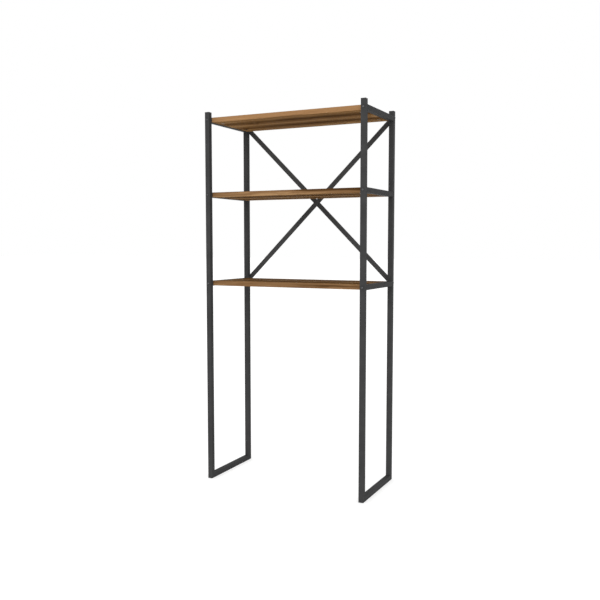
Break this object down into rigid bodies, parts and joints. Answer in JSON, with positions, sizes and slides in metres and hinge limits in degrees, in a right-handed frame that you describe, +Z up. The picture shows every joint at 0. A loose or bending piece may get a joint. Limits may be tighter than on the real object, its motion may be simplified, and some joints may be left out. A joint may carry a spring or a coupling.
{
  "type": "over the toilet storage rack",
  "caption": "Tall open rack that stands over a toilet: board shelves between two U-shaped square-tube side frames, with a crossed pair of flat bars at the back.",
  "frame": {"origin": "on the floor, in the middle of the whole rack's width and depth", "axes": "+Z up, -Y towards the front where the user stands, +X to the viewer's right"},
  "size_m": [0.692, 0.3328, 1.5],
  "materials": {
    "powder_coat": "matt charcoal powder coat",
    "black_plastic": "matt black moulded plastic",
    "wood_decor": "chipboard with a brown wood-grain decor, satin",
    "wood_edging": "wood-grain edging strip, satin",
    "black_bolt": "black oxide steel, slightly shiny",
    "zinc_steel": "zinc plated"
  },
  "bodies": {
    "root": {"left_front_upright": "powder_coat", "left_front_end_cap": "black_plastic", "left_rear_upright": "powder_coat", "left_rear_end_cap": "black_plastic", "left_floor_runner": "powder_coat", "left_lower_rail": "powder_coat", "left_lower_front_bolt": "black_bolt", "left_lower_front_dowel": "zinc_steel", "left_lower_front_cam": "zinc_steel", "left_lower_rear_bolt": "black_bolt", "left_lower_rear_dowel": "zinc_steel", "left_lower_rear_cam": "zinc_steel", "left_middle_rail": "powder_coat", "left_middle_front_bolt": "black_bolt", "left_middle_front_dowel": "zinc_steel", "left_middle_front_cam": "zinc_steel", "left_middle_rear_bolt": "black_bolt", "left_middle_rear_dowel": "zinc_steel", "left_middle_rear_cam": "zinc_steel", "left_top_rail": "powder_coat", "left_top_front_bolt": "black_bolt", "left_top_front_dowel": "zinc_steel", "left_top_front_cam": "zinc_steel", "left_top_rear_bolt": "black_bolt", "left_top_rear_dowel": "zinc_steel", "left_top_rear_cam": "zinc_steel", "right_front_upright": "powder_coat", "right_front_end_cap": "black_plastic", "right_rear_upright": "powder_coat", "right_rear_end_cap": "black_plastic", "right_floor_runner": "powder_coat", "right_lower_rail": "powder_coat", "right_lower_front_bolt": "black_bolt", "right_lower_front_dowel": "zinc_steel", "right_lower_front_cam": "zinc_steel", "right_lower_rear_bolt": "black_bolt", "right_lower_rear_dowel": "zinc_steel", "right_lower_rear_cam": "zinc_steel", "right_middle_rail": "powder_coat", "right_middle_front_bolt": "black_bolt", "right_middle_front_dowel": "zinc_steel", "right_middle_front_cam": "zinc_steel", "right_middle_rear_bolt": "black_bolt", "right_middle_rear_dowel": "zinc_steel", "right_middle_rear_cam": "zinc_steel", "right_top_rail": "powder_coat", "right_top_front_bolt": "black_bolt", "right_top_front_dowel": "zinc_steel", "right_top_front_cam": "zinc_steel", "right_top_rear_bolt": "black_bolt", "right_top_rear_dowel": "zinc_steel", "right_top_rear_cam": "zinc_steel", "lower_shelf": "wood_decor", "lower_shelf_edging": "wood_edging", "middle_shelf": "wood_decor", "middle_shelf_edging": "wood_edging", "top_shelf": "wood_decor", "top_shelf_edging": "wood_edging", "rising_brace_bar": "powder_coat", "falling_brace_bar": "powder_coat"}
  },
  "joints": []
}
